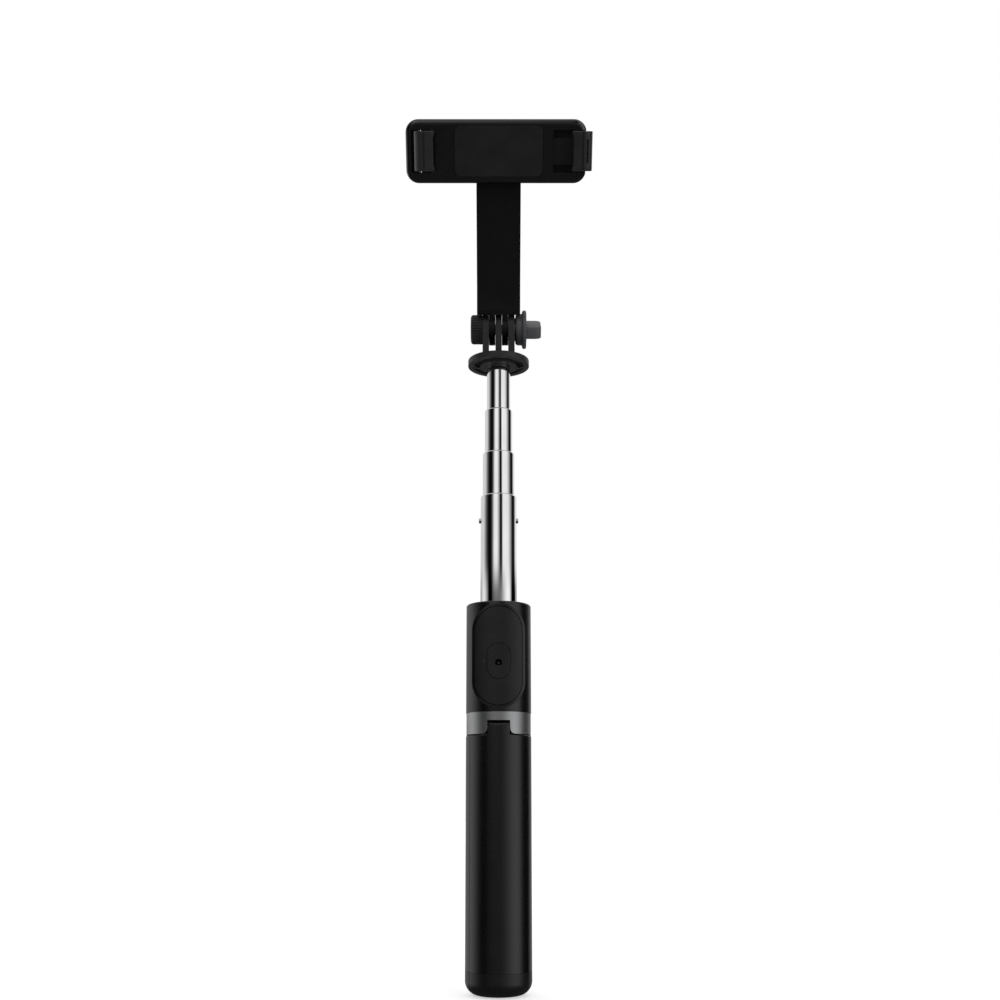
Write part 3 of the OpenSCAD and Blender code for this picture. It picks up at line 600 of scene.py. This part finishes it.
def floor_plane(material):
    """A square floor a little below the part. Glossy surfaces don't reflect it."""
    half = FLOOR_SIZE / 2
    mesh = bpy.data.meshes.new("floor")
    mesh.from_pydata([(-half, -half, 0), (half, -half, 0), (half, half, 0), (-half, half, 0)], [], [(0, 1, 2, 3)])
    mesh.materials.append(material)
    obj = bpy.data.objects.new("floor", mesh)
    obj.location = (0, 0, -FLOOR_DROP)
    obj.visible_glossy = False
    bpy.context.scene.collection.objects.link(obj)
    return obj


def around(tree, azimuth, levels):
    """Brightness round the stick. A level is (degrees, brightness), where 0 degrees is towards the camera
    and positive is to the right."""
    node = tree.nodes.new("ShaderNodeValToRGB")
    stops = node.color_ramp.elements
    while len(stops) < len(levels):
        stops.new(0.5)
    for stop, (angle, level) in zip(stops, levels):
        stop.position = angle / 360 + 0.5
        stop.color = (level, level, level, 1)
    tree.links.new(azimuth, node.inputs["Fac"])
    return node.outputs["Color"]


def math_node(tree, operation, first, second):
    """A math node on sockets or plain numbers."""
    node = tree.nodes.new("ShaderNodeMath")
    node.operation = operation
    for socket, value in zip(node.inputs, (first, second)):
        if isinstance(value, (int, float)):
            socket.default_value = value
        else:
            tree.links.new(value, socket)
    return node.outputs["Value"]


def step(tree, value, low, high):
    """0 below low, 1 above high."""
    node = tree.nodes.new("ShaderNodeMapRange")
    node.interpolation_type = "SMOOTHSTEP"
    node.inputs["From Min"].default_value = low
    node.inputs["From Max"].default_value = high
    tree.links.new(value, node.inputs["Value"])
    return node.outputs["Result"]


def mix(tree, amount, first, second):
    """The first colour where the amount is 0, the second where it is 1."""
    node = tree.nodes.new("ShaderNodeMix")
    node.data_type = "RGBA"
    tree.links.new(amount, node.inputs["Factor"])
    for socket, value in ((node.inputs["A"], first), (node.inputs["B"], second)):
        if isinstance(value, tuple):
            socket.default_value = value
        else:
            tree.links.new(value, socket)
    return node.outputs["Result"]


# brightness of the walls round the stick, in directions above and below WALL_EDGE
HIGH_LIGHTS = (
    (-180, 0.8), (-110, 0.78), (-103, 0.58), (-85, 0.12), (-72, 0.01), (-54, 0.0), (-47, 0.02), (-42, 0.1),
    (-36, 0.34), (-30, 0.85), (-24, 1.05), (-9, 1.05), (-4, 0.66), (3, 0.45), (8, 0.06), (12, 0.0), (20, 0.0),
    (24, 0.45), (29, 1.05), (61, 1.0), (70, 0.77), (78, 0.49), (86, 0.25), (94, 0.05), (101, 0.0), (112, 0.0),
    (121, 0.11), (131, 0.75), (138, 0.95), (180, 0.9),
)
LOW_LIGHTS = (
    (-180, 0.3), (-140, 0.5), (-110, 1.0), (-95, 0.85), (-78, 0.35), (-66, 0.0), (-44, 0.0), (-34, 0.12),
    (-10, 0.17), (8, 0.18), (22, 0.34), (38, 0.72), (52, 1.1), (72, 1.15), (82, 0.6), (92, 0.0), (128, 0.0),
    (140, 0.5), (180, 0.3),
)


def studio_world():
    """Walls of light and dark bands, a ceiling, and a plain white background for the camera."""
    world = bpy.data.worlds.new("studio")
    world.use_nodes = True
    tree = world.node_tree
    background = tree.nodes["Background"]
    where = tree.nodes.new("ShaderNodeTexCoord").outputs["Generated"]
    axes = tree.nodes.new("ShaderNodeSeparateXYZ")
    tree.links.new(where, axes.inputs["Vector"])
    towards_camera = math_node(tree, "MULTIPLY", axes.outputs["Y"], -1.0)
    angle = math_node(tree, "ARCTAN2", axes.outputs["X"], towards_camera)
    azimuth = math_node(tree, "ADD", math_node(tree, "DIVIDE", angle, 2 * math.pi), 0.5)
    height = axes.outputs["Z"]
    low, high = around(tree, azimuth, LOW_LIGHTS), around(tree, azimuth, HIGH_LIGHTS)
    walls = mix(tree, step(tree, height, *WALL_EDGE), low, high)
    below = mix(tree, step(tree, height, *PIT_EDGE), (PIT, PIT, PIT, 1), walls)
    room = mix(tree, step(tree, height, *CEILING_EDGE), below, (CEILING, CEILING, CEILING, 1))
    camera_ray = tree.nodes.new("ShaderNodeLightPath").outputs["Is Camera Ray"]
    seen = mix(tree, camera_ray, room, (1.0, 1.0, 1.0, 1))
    tree.links.new(seen, background.inputs["Color"])
    return world


scene = bpy.context.scene
floor_plane(paper("floor_paper", (0.94, 0.94, 0.94), FLOOR_GLOW))
scene.world = studio_world()
scene.view_settings.view_transform = "Standard"


# ---------- camera ----------

CAMERA_DISTANCE = 0.562
CAMERA_HEIGHT = 0.083
CAMERA_PITCH = 9.57

data = bpy.data.cameras.new("camera")
data.sensor_width = 36.0
data.lens = 43.8
data.shift_x = 0.0014
data.shift_y = 0.1
data.clip_start = 0.01
camera = bpy.data.objects.new("camera", data)
camera.location = (0, -CAMERA_DISTANCE, CAMERA_HEIGHT)
camera.rotation_euler = (math.radians(90 + CAMERA_PITCH), 0, 0)
scene.collection.objects.link(camera)
scene.camera = camera
